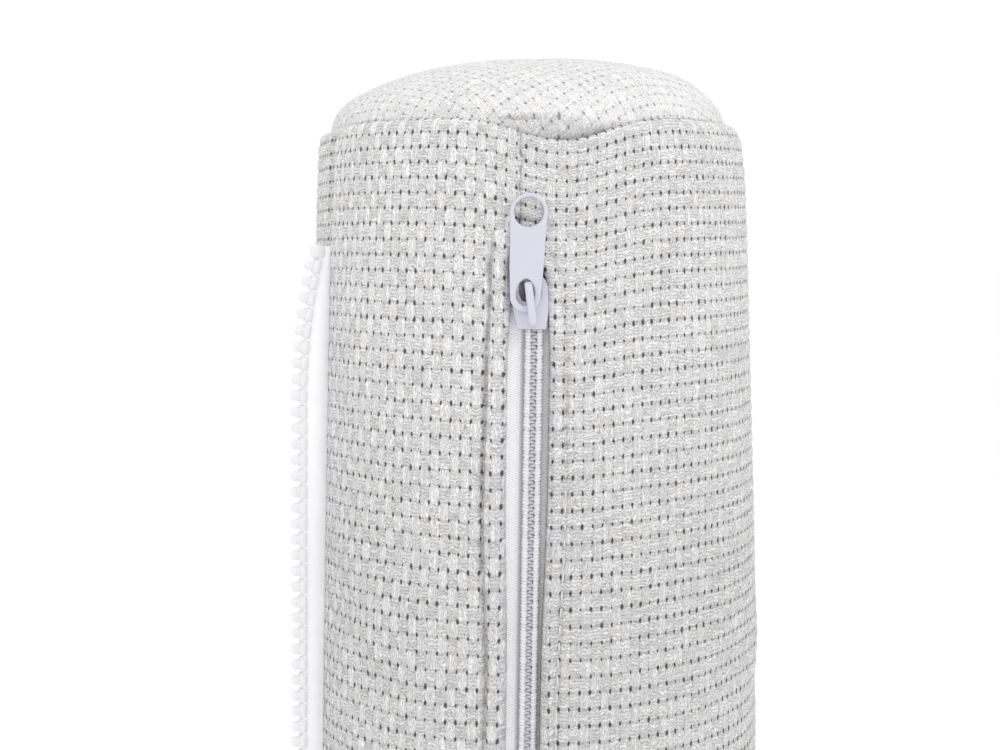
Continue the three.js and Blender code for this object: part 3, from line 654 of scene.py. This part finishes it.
def endCap(name, upward):
    shares = np.linspace(0, 1, cap["rings"]) ** 0.92
    shares[0] = 0.004
    angles = 2 * math.pi * np.arange(cap["around"]) / cap["around"]
    share, angle = np.meshgrid(shares, angles, indexing="ij")
    radius, height = capProfile(share, upward)
    gaps = np.hypot(np.diff(radius[:, 0]), np.diff(height[:, 0]))
    fromMiddle = np.concatenate([[0], np.cumsum(gaps)])[:, None] + 0 * angle
    fromSeam = fromMiddle[-1] - fromMiddle
    x, y = fromMiddle * np.sin(angle), -fromMiddle * np.cos(angle)
    c, s = math.cos(cap["turn"]), math.sin(cap["turn"])
    uGrid, vGrid = (x * c + y * s) / cap["width"] + 40, (y * c - x * s) / cap["height"] + 40
    lift = cap["relief"] / weave["relief"] * relief(uGrid, vGrid) * smooth(fromSeam, 0, 1.5)
    lift = lift + 0.09 * np.sin(angle * 23 + 1) * np.exp(-fromSeam / 5.0)
    lift = lift + 0.06 * np.sin(angle * 37) * np.exp(-fromSeam / 4.0)
    base, sign, sag, over, paintedShade = seamBottom, -1, 0.0, 0.0, 0 * angle
    if upward:
        # pulled wrinkle over the zip seam
        base, sign = seamTop, 1
        band, fold = lobe(angle, 0.12, 0.3), lobe(angle, 0.03, 0.17)
        creaseAt = cap["creaseAt"] + cap["creaseDrop"] * droop(angle, 0.0)
        lift = lift - cap["creaseDeep"] * fold * bulge(fromSeam, creaseAt, cap["creaseWide"])
        lift = lift + 0.3 * fold * bulge(fromSeam, creaseAt + 1.0, 0.7)
        lift = lift + cap["fold"] * band * bulge(fromSeam, 0.55 * creaseAt, 0.9)
        lift = lift - (0.25 + 0.7 * band) * bulge(fromSeam, 0.0, 0.5)
        # painted shade on the band of cap cloth that is turned down over the seam
        paintedShade = cap["paintedShade"] * band * smooth(creaseAt + 0.3 - fromSeam, 0.0, 0.9)
        # painted shadow line along the seam beside the droop
        paintedShade = paintedShade + lobe(angle, 0.16, 0.14) * bulge(fromSeam, 0.2, 0.6)
        sag = droop(angle, 0.0) * np.exp(-fromSeam / 8.0)
        over = overhang(angle) * (1 - smooth(fromSeam, 2.0, 8.0))
    else:
        lift = 0.8 * lift * smooth(share, 0.5, 0.75)
    slope = np.arctan2(np.gradient(height[:, 0]), np.gradient(radius[:, 0]))[:, None]
    grids = []
    for out in (lift, -cap["thick"]):  # outer face, then inner face
        far = np.maximum(radius - out * np.sin(slope) + over, 0.05)
        grids.append(at(angle, far, base - sag + sign * (height + out * np.cos(slope))))
    if upward:
        for grid in grids:
            grid[..., 2] += (cap["tilt"] - form["tilt"]) * grid[..., 0] * smooth(fromSeam, 0.0, 12.0)
            lean = np.where(grid[..., 0] > 0, cap["lean"], 0.4 * cap["lean"])
            grid[..., 2] += lean * grid[..., 0] * smooth(fromSeam, 4.0, 14.0)
            grid[..., 0] -= form["aside"]
    points = np.concatenate([grid.reshape(-1, 3) for grid in grids])
    faces = shellFaces(*share.shape, True)
    if upward:
        faces = faces[:, ::-1]
    uv = np.stack([uGrid, vGrid], -1).reshape(-1, 2)
    obj = meshObject(name, points, faces, clothCap, np.concatenate([uv, uv]),
                     {"paintedShade": np.concatenate([paintedShade.ravel(), 0 * paintedShade.ravel()])})
    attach(obj, "cover")
    return obj


capTop = endCap("capTop", True)
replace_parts(capTop, "end_cap_top")
capBottom = endCap("capBottom", False)
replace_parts(capBottom, "end_cap_bottom")
print("end caps made")


# Small parts

def soften(x, power):
    return np.sign(x) * np.abs(x) ** power


def roundedBox(size, centre, power=0.35, rings=10, around=16):
    rise, turn = np.meshgrid(np.linspace(-math.pi / 2, math.pi / 2, rings + 1)[1:-1],
                             2 * math.pi * np.arange(around) / around, indexing="ij")
    level = soften(np.cos(rise), power)
    points = np.stack([level * soften(np.cos(turn), power), level * soften(np.sin(turn), power),
                       soften(np.sin(rise), power)], -1).reshape(-1, 3)
    points = np.concatenate([points, [[0, 0, -1], [0, 0, 1]]]) * np.array(size) / 2 + np.array(centre)
    return capped(rings - 1, around, points)


def tube(path, wide, deep, sides=10, across=None, power=1.0):
    # a closed bar along a path; across is the direction its width keeps to
    path = np.asarray(path, float)
    tangent = np.gradient(path, axis=0)
    tangent /= np.linalg.norm(tangent, axis=1)[:, None]
    if across is None:
        helper = np.array([0.0, 1.0, 0.0])
        width = np.cross(helper, tangent)
    else:
        width = np.array(across, float) - tangent * (tangent @ np.array(across, float))[:, None]
    width /= np.linalg.norm(width, axis=1)[:, None]
    depth = np.cross(tangent, width)
    turn = 2 * math.pi * np.arange(sides) / sides
    c, s = soften(np.cos(turn), power)[None, :, None], soften(np.sin(turn), power)[None, :, None]
    points = path[:, None] + width[:, None] * c * wide / 2 + depth[:, None] * s * deep / 2
    return capped(len(path), sides, np.concatenate([points.reshape(-1, 3), [path[0], path[-1]]]))


def merged(solids):
    points, faces, offset = [], [], 0
    for p, f in solids:
        points.append(np.asarray(p, float))
        faces += [tuple(i + offset for i in face) for face in f]
        offset += len(p)
    return np.concatenate(points), faces


def plateSolid(loops, near, far, bevel, rings=3):
    # outlines in x and height, between two depths in front of the axis, with rounded rims
    data = bpy.data.curves.new("outline", "CURVE")
    data.dimensions, data.fill_mode = "2D", "BOTH"
    data.extrude, data.bevel_depth = ((far - near) / 2 - bevel) * mm, bevel * mm
    data.offset, data.bevel_resolution = -bevel * mm, rings
    for loop in loops:
        spline = data.splines.new("POLY")
        spline.points.add(len(loop) - 1)
        for point, (x, y) in zip(spline.points, loop):
            point.co = (x * mm, y * mm, 0, 1)
        spline.use_cyclic_u = True
    obj = newObject("outline", data)
    mesh = bpy.data.meshes.new_from_object(obj.evaluated_get(bpy.context.evaluated_depsgraph_get()))
    points = np.array([v.co for v in mesh.vertices]) / mm
    points = np.stack([points[:, 0], -(near + far) / 2 - points[:, 2], points[:, 1]], -1)
    # meeting rims share their points
    key, place = np.unique(np.round(points, 4), axis=0, return_inverse=True)
    place = place.ravel()
    faces = []
    for face in mesh.polygons:
        corners = list(dict.fromkeys(int(place[i]) for i in face.vertices))
        if len(corners) > 2:
            faces.append(tuple(corners))
    bpy.data.objects.remove(obj)
    return key, faces


def arc(cx, cy, r, start, end, steps, squeeze=1.0):
    return [(cx + r * math.cos(math.radians(start + (end - start) * i / steps)),
             cy + r * squeeze * math.sin(math.radians(start + (end - start) * i / steps)))
            for i in range(steps + 1)]


def repeater():
    # places an item every pitch along a line, upright along it and facing one way
    group = bpy.data.node_groups.new("repeater", "GeometryNodeTree")
    face = group.interface
    face.new_socket("Geometry", in_out="INPUT", socket_type="NodeSocketGeometry")
    for label, kind in (("Item", "Object"), ("Pitch", "Float"), ("Facing", "Vector"), ("Jitter", "Float"),
                        ("Seed", "Int"), ("Finish", "Material")):
        face.new_socket(label, in_out="INPUT", socket_type="NodeSocket" + kind)
    face.new_socket("Geometry", in_out="OUTPUT", socket_type="NodeSocketGeometry")
    nodes, links = group.nodes, group.links
    start, end = nodes.new("NodeGroupInput"), nodes.new("NodeGroupOutput")
    curve = nodes.new("GeometryNodeMeshToCurve")
    even = nodes.new("GeometryNodeResampleCurve")
    even.mode = "LENGTH"
    spots = nodes.new("GeometryNodeCurveToPoints")
    spots.mode = "EVALUATED"
    upright = nodes.new("FunctionNodeAlignRotationToVector")
    upright.axis = "Z"
    facing = nodes.new("FunctionNodeAlignRotationToVector")
    facing.axis, facing.pivot_axis = "X", "Z"
    info = nodes.new("GeometryNodeObjectInfo")
    chance = nodes.new("FunctionNodeRandomValue")
    chance.data_type = "FLOAT"
    less, more = nodes.new("ShaderNodeMath"), nodes.new("ShaderNodeMath")
    less.operation, more.operation = "SUBTRACT", "ADD"
    less.inputs[0].default_value = more.inputs[0].default_value = 1.0
    place = nodes.new("GeometryNodeInstanceOnPoints")
    real, finish = nodes.new("GeometryNodeRealizeInstances"), nodes.new("GeometryNodeSetMaterial")
    low, high = [socket for socket in chance.inputs if socket.type == "VALUE"][:2]
    size = [socket for socket in chance.outputs if socket.type == "VALUE"][0]
    for source, target in (
        (start.outputs["Geometry"], curve.inputs[0]),
        (curve.outputs[0], even.inputs["Curve"]),
        (start.outputs["Pitch"], even.inputs["Length"]),
        (even.outputs[0], spots.inputs[0]),
        (spots.outputs["Tangent"], upright.inputs["Vector"]),
        (upright.outputs[0], facing.inputs["Rotation"]),
        (start.outputs["Facing"], facing.inputs["Vector"]),
        (spots.outputs["Points"], place.inputs["Points"]),
        (start.outputs["Item"], info.inputs["Object"]),
        (info.outputs["Geometry"], place.inputs["Instance"]),
        (facing.outputs[0], place.inputs["Rotation"]),
        (start.outputs["Jitter"], less.inputs[1]),
        (start.outputs["Jitter"], more.inputs[1]),
        (less.outputs[0], low),
        (more.outputs[0], high),
        (start.outputs["Seed"], chance.inputs["Seed"]),
        (size, place.inputs["Scale"]),
        (place.outputs[0], real.inputs[0]),
        (real.outputs[0], finish.inputs["Geometry"]),
        (start.outputs["Finish"], finish.inputs["Material"]),
        (finish.outputs[0], end.inputs[0]),
    ):
        links.new(source, target)
    return group


repeatGroup = repeater()


def repeated(name, line, item, pitch, facing, material, body, jitter=0.0, seed=1):
    points, faces = item
    sample = meshObject(name + "Item", points, faces, None)
    path = bpy.data.meshes.new(name + "Line")
    links = [(i, i + 1) for i in range(len(line) - 1)]
    path.from_pydata([tuple(np.asarray(p) * mm) for p in line], links, [])
    carrier = newObject(name + "Line", path)
    modifier = carrier.modifiers.new("repeat", "NODES")
    modifier.node_group = repeatGroup
    wanted = {"Item": sample, "Pitch": pitch * mm, "Facing": facing, "Jitter": jitter, "Seed": seed,
              "Finish": material}
    for socket in repeatGroup.interface.items_tree:
        if socket.in_out == "INPUT" and socket.name in wanted:
            modifier[socket.identifier] = wanted[socket.name]
    bpy.context.view_layer.update()
    seen = carrier.evaluated_get(bpy.context.evaluated_depsgraph_get())
    mesh = bpy.data.meshes.new_from_object(seen)
    mesh.name = name
    mesh.polygons.foreach_set("use_smooth", [True] * len(mesh.polygons))
    bpy.data.objects.remove(carrier)
    bpy.data.objects.remove(sample)
    if not mesh.materials:
        mesh.materials.append(material)
    obj = newObject(name, mesh)
    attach(obj, body)
    return obj


def solidObject(name, solids, material, body, sharp=40):
    points, faces = merged(solids)
    obj = meshObject(name, points, faces, material)
    if sharp:
        obj.data.set_sharp_from_angle(angle=math.radians(sharp))
    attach(obj, body)
    return obj


# Coil zip: two coils of nylon wire, each sewn down by a thread, on woven tapes

coil = {
    "pitch": 1.2, "wire": 0.52, "outer": 1.5, "head": 0.34, "tall": 0.8, "lift": 0.36, "steps": 12,
    "sides": 5, "aside": 0.25, "ridgeAt": 1.02, "ridgeWide": 1.2, "ridgeDeep": 1.1, "ridgeLong": 0.7,
    "ridgePitch": 0.6, "ridgeTurn": 0.4, "ridgeEnd": 0.4, "coreWide": 1.5, "coreDeep": 0.9,
}
coilLow, coilHigh = cadBox("coil_left")
coilMiddle = coilFace - coil["wire"] / 2 - coil["tall"] / 2 - coil["lift"]


def coilTurn(side):
    # one turn of wire, from its heel at the tape round its head at the middle
    turn = np.arange(coil["steps"] + 1) / coil["steps"] * 2 * math.pi
    reach, middle = (coil["outer"] + coil["head"]) / 2, (coil["outer"] - coil["head"]) / 2
    x = side * (middle - reach * soften(np.cos(turn), 0.7)) + coil["aside"]
    y = -soften(np.sin(turn), 0.45) * coil["tall"] / 2
    path = np.stack([x, y, (turn / (2 * math.pi) - 0.5) * coil["pitch"]], -1)
    return tube(path, coil["wire"], coil["wire"], coil["sides"])


for side, hand in ((-1, "left"), (1, "right")):
    start = coilLow[2] + coil["pitch"] * (0.5 if side < 0 else 1.0)
    turns = math.floor((coilHigh[2] - coil["pitch"] - start) / coil["pitch"] + 0.001)
    line = [(0, -coilMiddle, start), (0, -coilMiddle, start + turns * coil["pitch"] + 0.001)]
    wire = repeated("coilWire_" + hand, line, coilTurn(side), coil["pitch"], (1, 0, 0), coilNylon,
                    "cover")
    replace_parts(wire, "coil_" + hand)
    bead = roundedBox((coil["ridgeWide"], coil["ridgeDeep"], coil["ridgeLong"]), (0, 0, 0), 0.75, 6, 8)
    turnSin, turnCos = math.sin(side * coil["ridgeTurn"]), math.cos(coil["ridgeTurn"])
    bead = (bead[0] @ np.array([[turnCos, 0, turnSin], [0, 1, 0], [-turnSin, 0, turnCos]]), bead[1])
    depth = coilFace - coil["ridgeDeep"] / 2 - 0.02
    ridgeX = side * coil["ridgeAt"] + coil["aside"]
    line = [(ridgeX, -depth, coilLow[2] + coil["ridgeEnd"]), (ridgeX, -depth, coilHigh[2] - coil["ridgeEnd"])]
    repeated("coilThread_" + hand, line, bead, coil["ridgePitch"], (1, 0, 0), coilThread, "cover",
             0.13, 3)
# a dark strip under the coil, coloured as painted shade in the gaps between its turns
core = roundedBox((coil["coreWide"], coil["coreDeep"], coilHigh[2] - coilLow[2] - 2),
                  (0, -tapeNear - 0.5, (coilHigh[2] + coilLow[2]) / 2), 0.2)
solidObject("coilCore", [core], coilGapShade, "cover")
print("coil zip made")

# Topstitching that holds the folded edges

for side, hand in ((-1, "left"), (1, "right")):
    t = np.linspace(stitch["margin"], clothLength - stitch["margin"], 300)
    away = groove(edges[side], t) + opening(t) - side * seamLean(t)
    angle = side * away / form["unrolled"]
    sunk = edges[side]["deep"] * edges[side]["sunk"]
    line = onBody(angle, t, softLift(angle, t) - sunk + 0.05)
    item = roundedBox((stitch["thick"], stitch["thick"], stitch["long"]), (0, 0, 0), 0.8, 6, 8)
    row = repeated("stitches_" + hand, line, item, stitch["pitch"], (0, -1, 0), stitchThread,
                   "cover", 0.08, 5)
    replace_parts(row, "topstitch_" + hand)
print("stitches made")


# Slider

sliderLow, sliderHigh = cadBox("slider_body")
slider = {
    "rear": 2.45, "front": 3.2, "bend": 4.4, "corner": 1.9, "plate": 0.95, "lowerPlate": 0.85, "above": 1.05,
    "wall": 0.8, "bridgeWide": 1.35, "bridgeDeep": 0.95, "bridgeLow": 0.9, "bridgeHigh": 7.9,
    "bridgeBend": 1.3, "slant": 0.22, "postWide": 0.8, "postLong": 2.4, "aside": -0.85, "lean": 0.075,
}
plateOuter = coilFace + slider["above"]
plateInner = plateOuter - slider["plate"]
frontZ, rearZ = sliderHigh[2], sliderLow[2]
bridgeTop = -sliderLow[1]


def sliderLoop(inset):
    bend = frontZ - slider["bend"]
    rear, front = slider["rear"] - inset, slider["front"] - inset
    right = [(rear, rearZ + inset)]
    for i in range(1, 9):
        f = i / 8
        right.append(((1 - f) ** 2 * rear + 2 * f * (1 - f) * (front - 0.1) + f * f * front,
                      (1 - f) * (rearZ + inset) + f * bend))
    corner = slider["corner"]
    right += arc(front - corner, frontZ - 2.3 - inset, corner, 0, 90, 8, 1.2)
    return right + [(-x, z) for x, z in reversed(right)]


def bridgeSolid():
    low, high = rearZ + slider["bridgeLow"], rearZ + slider["bridgeHigh"]
    root, top = plateInner + 0.3, bridgeTop - slider["bridgeDeep"] / 2
    bend = slider["bridgeBend"]
    rounds = [(bend * math.cos(a), top - bend + bend * math.sin(a)) for a in np.linspace(0.2, 1.57, 6)]
    path = [(low, root), (low, top - bend)] + [(low + bend - x, y) for x, y in rounds]
    path += [(high - bend + x, y) for x, y in reversed(rounds)] + [(high, top - bend), (high, root)]
    middle = (low + high) / 2
    points = [(-slider["slant"] * (z - middle) / (high - low) * 2, -depth, z) for z, depth in path]
    return tube(points, slider["bridgeWide"], slider["bridgeDeep"], 14, (1, 0, 0), 0.75)


# the upper plate is open on each side of the bridge
window = ((0.75, -1.2), (1.75, -1.5), (1.9, -3.4), (1.5, -4.6), (0.75, -4.9))
windows = [[(side * x, frontZ + z) for x, z in window[::side]] for side in (-1, 1)]
lowerNear = -sliderHigh[1]
upper = plateSolid([sliderLoop(0)] + windows, plateInner, plateOuter, 0.28)
lower = plateSolid([sliderLoop(0.1)], lowerNear, lowerNear + slider["lowerPlate"], 0.2)
walls = []
for side in (-1, 1):
    loop = [(side * x, z) for x, z in sliderLoop(0.03)[:15]]
    inner = [(x - side * slider["wall"], z) for x, z in reversed(loop)]
    ring = loop + inner
    if side < 0:
        ring = ring[::-1]
    walls.append(plateSolid([ring], tapeNear + 0.25, plateOuter - 0.3, 0.12, 2))
post = roundedBox((slider["postWide"], plateOuter - lowerNear - 0.4, slider["postLong"]),
                  (0, -(plateOuter + lowerNear) / 2, frontZ - 1.35), 0.3)
sliderPoints, sliderFaces = merged([upper, lower, post, bridgeSolid()] + walls)
sliderPoints[:, 0] += slider["aside"] + slider["lean"] * (frontZ - sliderPoints[:, 2])
sliderBody = solidObject("sliderBody", [(sliderPoints, sliderFaces)], enamel, "slider")
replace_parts(sliderBody, "slider_body")

# Pull

pullLow, pullHigh = cadBox("pull_tab")
pull = {
    "top": 3.25, "waist": 2.95, "foot": 2.2, "footWide": 2.65, "hole": 2.58, "rim": 0.68, "ringWide": 1.6,
    "ringLong": 2.3, "ringUp": 1.15, "taper": 0.16, "bevel": 0.28, "aside": -1.5, "lean": 0.028,
}


def pullSolid():
    foot, top = pullLow[2], pullHigh[2]
    low, high = foot + pull["foot"], top - pull["top"]
    waist = [(pull["waist"], high - 9.5), (pull["waist"] + 0.1, high - 5.0)]
    outline = arc(0, high, pull["top"], 0, 180, 28) + [(-x, z) for x, z in reversed(waist)]
    outline += arc(0, low + 0.55, pull["footWide"], 180, 360, 24, 1.03) + waist
    hole = arc(0, top - pull["rim"] - pull["hole"], pull["hole"], 360, 0, 36)[:-1]
    middle = foot + pull["ringUp"] + pull["ringLong"]
    ring = [(pull["ringWide"] * (1 - pull["taper"] * math.sin(a)) * math.cos(a),
             middle + pull["ringLong"] * math.sin(a)) for a in -2 * math.pi * np.arange(30) / 30]
    near, far = -pullHigh[1], -pullLow[1]
    return plateSolid([outline, hole, ring], near, far, pull["bevel"], 4)


pullPoints, pullFaces = pullSolid()
pullPoints[:, 0] += pull["aside"] + pull["lean"] * (pullPoints[:, 2] - pullLow[2])
pullTab = solidObject("pullTab", [(pullPoints, pullFaces)], enamel, "pull")
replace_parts(pullTab, "pull_tab")
print("slider and pull made")

# Half zip in the side seam: woven tape with a row of moulded teeth

tapeLow = cadBox("side_zip_tape")[0]
teethLow, teethHigh = cadBox("side_zip_teeth")
stopLow, stopHigh = cadBox("side_zip_top_stop")
pinLow, pinHigh = cadBox("side_zip_pin")
outward = np.array([math.sin(form["sideAngle"]), -math.cos(form["sideAngle"]), 0.0])
flapTurn = np.array([outward, [-outward[1], outward[0], 0.0], [0.0, 0.0, 1.0]])
half = {
    "edge": 46.9, "curl": 3.0, "curlReach": 27.0, "root": 41.2, "thick": 0.6, "bulged": 0.55, "cord": 1.0,
    "cordDeep": 1.5, "pitch": 3.05, "base": (1.4, 2.3, 2.75), "baseAt": 0.6, "head": (2.1, 1.7, 1.8),
    "headAt": 1.65, "stop": (2.7, 1.9), "pin": (1.4, 1.5), "pinAt": 0.65, "bend": (42.6, 46.0),
}


def edgeRadius(z):
    turned = np.clip(1 + (z - teethHigh[2]) / half["curlReach"], 0, 1.2)
    return half["edge"] - half["curl"] * turned ** 2


def inFlap(points):
    return np.asarray(points, float) @ flapTurn


def flapTape():
    height, share = np.meshgrid(np.linspace(tapeLow[2], stopHigh[2] - 0.2, 200), np.linspace(0, 1, 9),
                                indexing="ij")
    out = half["root"] + share * (edgeRadius(height) - half["root"])
    wave = 0.10 * np.sin(height * 0.09) * share
    full = half["bulged"] * np.sin(np.pi * share) ** 0.7
    front = np.stack([out, wave + half["thick"] / 2 + full, height], -1)
    back = np.stack([out, wave - half["thick"] / 2, height], -1)
    points = np.concatenate([front.reshape(-1, 3), back.reshape(-1, 3)])
    obj = meshObject("sideTape", inFlap(points), shellFaces(*share.shape)[:, ::-1], tapeSide)
    obj.data.set_sharp_from_angle(angle=math.radians(50))
    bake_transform(obj)
    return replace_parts(obj, "side_zip_tape")


flapTape()
z = np.arange(teethHigh[2] - half["pitch"] / 2, teethLow[2], -half["pitch"])[::-1]
cordLine = [(float(edgeRadius(h)) + 0.25, 0, h) for h in np.linspace(tapeLow[2] + 1, stopHigh[2] - 1.0, 120)]
cordPoints, cordFaces = tube(cordLine, half["cord"], half["cordDeep"], 12, (1, 0, 0))
tooth = merged([roundedBox(half["base"], (half["baseAt"], 0, 0), 0.42),
                roundedBox(half["head"], (half["headAt"], 0, 0), 0.45)])
toothLine = inFlap([(float(edgeRadius(h)), 0, h) for h in z])
teeth = repeated("sideTeeth", toothLine, tooth, half["pitch"], tuple(outward), toothPlastic, "side_zip")
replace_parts(teeth, "side_zip_teeth")
solidObject("sideCord", [(inFlap(cordPoints), cordFaces)], tapeSide, "side_zip")


def flapBlock(name, size, away, low, high, power):
    points, faces = roundedBox((*size, high - low), (away, 0, (low + high) / 2), power)
    return solidObject(name, [(inFlap(points), faces)], toothPlastic, "side_zip")


stopAt = float(edgeRadius(stopLow[2] + 1.2)) + 1.0
stop = flapBlock("sideTopStop", half["stop"], stopAt, stopLow[2], stopHigh[2], 0.5)
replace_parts(stop, "side_zip_top_stop")
pin = flapBlock("sidePin", half["pin"], half["edge"] + half["pinAt"], pinLow[2], pinHigh[2], 0.3)
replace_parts(pin, "side_zip_pin")
print("side zip made")

# Parts that keep their CAD shape

kept = {
    "foam_core": foamPolyether, "wadding_wrap": waddingFibre, "liner_sleeve": linerCloth,
    "liner_end_top": linerCloth, "liner_end_bottom": linerCloth, "coil_tape_left": tapeLeft,
    "coil_tape_right": shadedTapeRight, "coil_top_stop_left": coilNylon, "coil_top_stop_right": coilNylon,
    "coil_bottom_stop": coilNylon,
}
for node, material in kept.items():
    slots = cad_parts[node].data.materials
    slots.clear()
    slots.append(material)

# Floor, light and camera

def studio():
    pale = plainSurface("paleFloor", (0.97, 0.97, 0.97, 1), 0.8, 3.0, 0.0001, 0.1, 0.002)
    floor = meshObject("floor", [(-6000, -4000, 0), (6000, -4000, 0), (6000, 9000, 0), (-6000, 9000, 0)],
                       [(0, 1, 2, 3)], pale)
    world = bpy.data.worlds.new("studio")
    world.use_nodes = True
    back = world.node_tree.nodes["Background"]
    back.inputs["Color"].default_value = (1, 1, 1, 1)
    back.inputs["Strength"].default_value = 1.04
    bpy.context.scene.world = world
    for name, place, aim, size, power in (
        ("keyLight", (520, -680, 900), (0, 0, 250), 240, 1.65),
        ("topLight", (-120, 0, 1100), (0, 0, 300), 500, 0.52),
        ("fillLight", (-700, -350, 450), (0, 0, 250), 400, 0.2),
    ):
        light = bpy.data.lights.new(name, "AREA")
        light.size, light.energy, light.shape = size * mm, power, "DISK"
        obj = newObject(name, light)
        obj.location = Vector(place) * mm
        obj.rotation_euler = (Vector(aim) - Vector(place)).to_track_quat("-Z", "Y").to_euler()
    view = {"lens": 54.9, "place": (-5.6, -306.2, 330.5), "down": 6.15, "roll": 0.8}
    data = bpy.data.cameras.new("camera")
    data.lens, data.sensor_width = view["lens"], 36
    data.clip_start, data.clip_end = 0.01, 30
    camera = newObject("camera", data)
    camera.location = Vector(view["place"]) * mm
    turn = Matrix.Rotation(math.radians(90 - view["down"]), 4, "X") @ Matrix.Rotation(
        math.radians(view["roll"]), 4, "Z")
    camera.rotation_euler = turn.to_euler()
    bpy.context.scene.camera = camera
    bpy.context.scene.view_settings.view_transform = "Standard"


studio()
